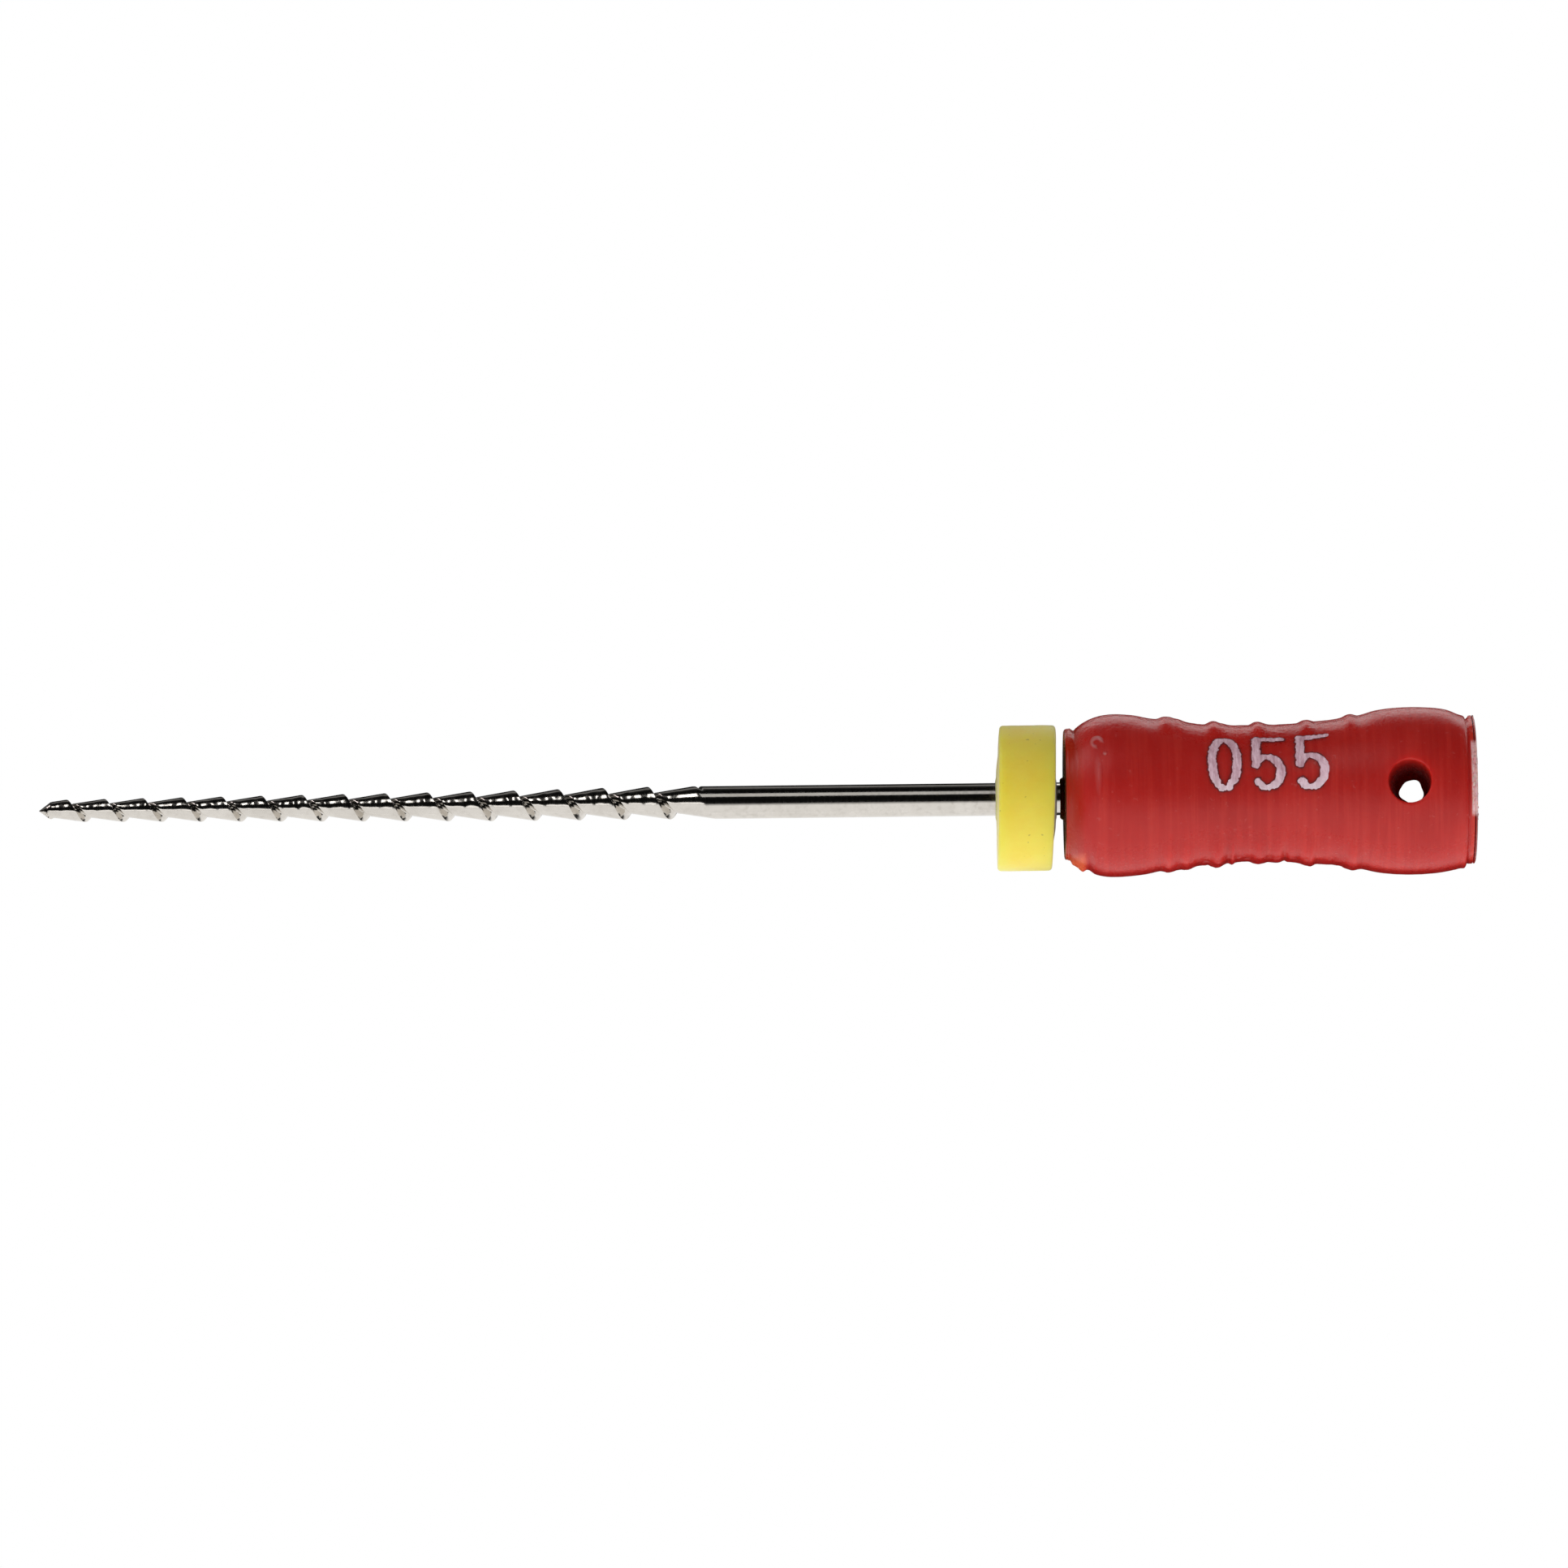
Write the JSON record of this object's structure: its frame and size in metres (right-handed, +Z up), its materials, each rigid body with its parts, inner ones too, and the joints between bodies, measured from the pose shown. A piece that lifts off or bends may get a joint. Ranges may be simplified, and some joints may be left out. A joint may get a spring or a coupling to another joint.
{
  "type": "endodontic hand file",
  "caption": "Hedstroem-type root canal hand file: fluted nickel-titanium wire moulded into a waisted red handle with a cross hole, and a sliding yellow silicone stop.",
  "frame": {"origin": "middle of the bounding box in X and Y, on the surface that the handle lies on", "axes": "+X along the file from its tip to the end of its handle, +Z up and along the handle's cross hole"},
  "size_m": [0.035, 0.004, 0.004],
  "materials": {
    "nickel_titanium": "ground and polished nickel-titanium",
    "red_plastic": "moulded, slightly translucent, satin gloss",
    "yellow_silicone": "soft satin silicone",
    "size_print": "hot-stamped pale film of the size number"
  },
  "bodies": {
    "file": {"file_blank": "nickel_titanium", "handle": "red_plastic"},
    "stop": {"silicone_stop": "yellow_silicone"}
  },
  "joints": [
    {"name": "stop_slide", "type": "slide", "parent": "file", "child": "stop", "axis": [1, 0, 0], "range_m": [-0.01137, 0.00005]}
  ]
}
